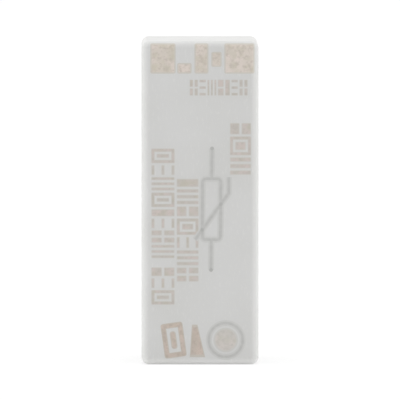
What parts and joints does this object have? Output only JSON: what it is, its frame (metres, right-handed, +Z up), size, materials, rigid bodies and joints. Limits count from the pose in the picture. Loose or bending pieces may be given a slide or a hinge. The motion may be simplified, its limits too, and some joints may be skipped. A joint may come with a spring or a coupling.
{
  "type": "plug-in varistor module",
  "caption": "Plug-in surge suppressor for a contactor coil: a slim moulded case with a disc varistor and plug contacts on its rear face.",
  "frame": {"origin": "middle of the rear seating face, between the two plug contacts", "axes": "+Y out of the seating face along the plug contacts, -Y towards the printed front face, +Z up along the housing's height, +X across its width"},
  "size_m": [0.0138, 0.0285, 0.038],
  "materials": {
    "housing_cap": "fine moulded grain",
    "contact_carrier": "fine moulded grain",
    "upper_contact": "tin-plated, satin",
    "lower_contact": "tin-plated, satin",
    "varistor_disc": "fired, matte",
    "upper_electrode": "fired silver, satin",
    "lower_electrode": "fired silver, satin",
    "upper_electrode_solder": "solder, satin",
    "lower_electrode_solder": "solder, satin",
    "upper_lead": "tinned copper wire, satin",
    "lower_lead": "tinned copper wire, satin",
    "epoxy_coating": "dipped epoxy, gloss",
    "upper_tail_solder": "solder, gloss",
    "lower_tail_solder": "solder, gloss"
  },
  "bodies": {
    "root": {"housing_cap": "housing_cap", "contact_carrier": "contact_carrier", "upper_contact": "upper_contact", "lower_contact": "lower_contact", "varistor_disc": "varistor_disc", "upper_electrode": "upper_electrode", "lower_electrode": "lower_electrode", "upper_electrode_solder": "upper_electrode_solder", "lower_electrode_solder": "lower_electrode_solder", "upper_lead": "upper_lead", "lower_lead": "lower_lead", "epoxy_coating": "epoxy_coating", "upper_tail_solder": "upper_tail_solder", "lower_tail_solder": "lower_tail_solder"}
  },
  "joints": []
}
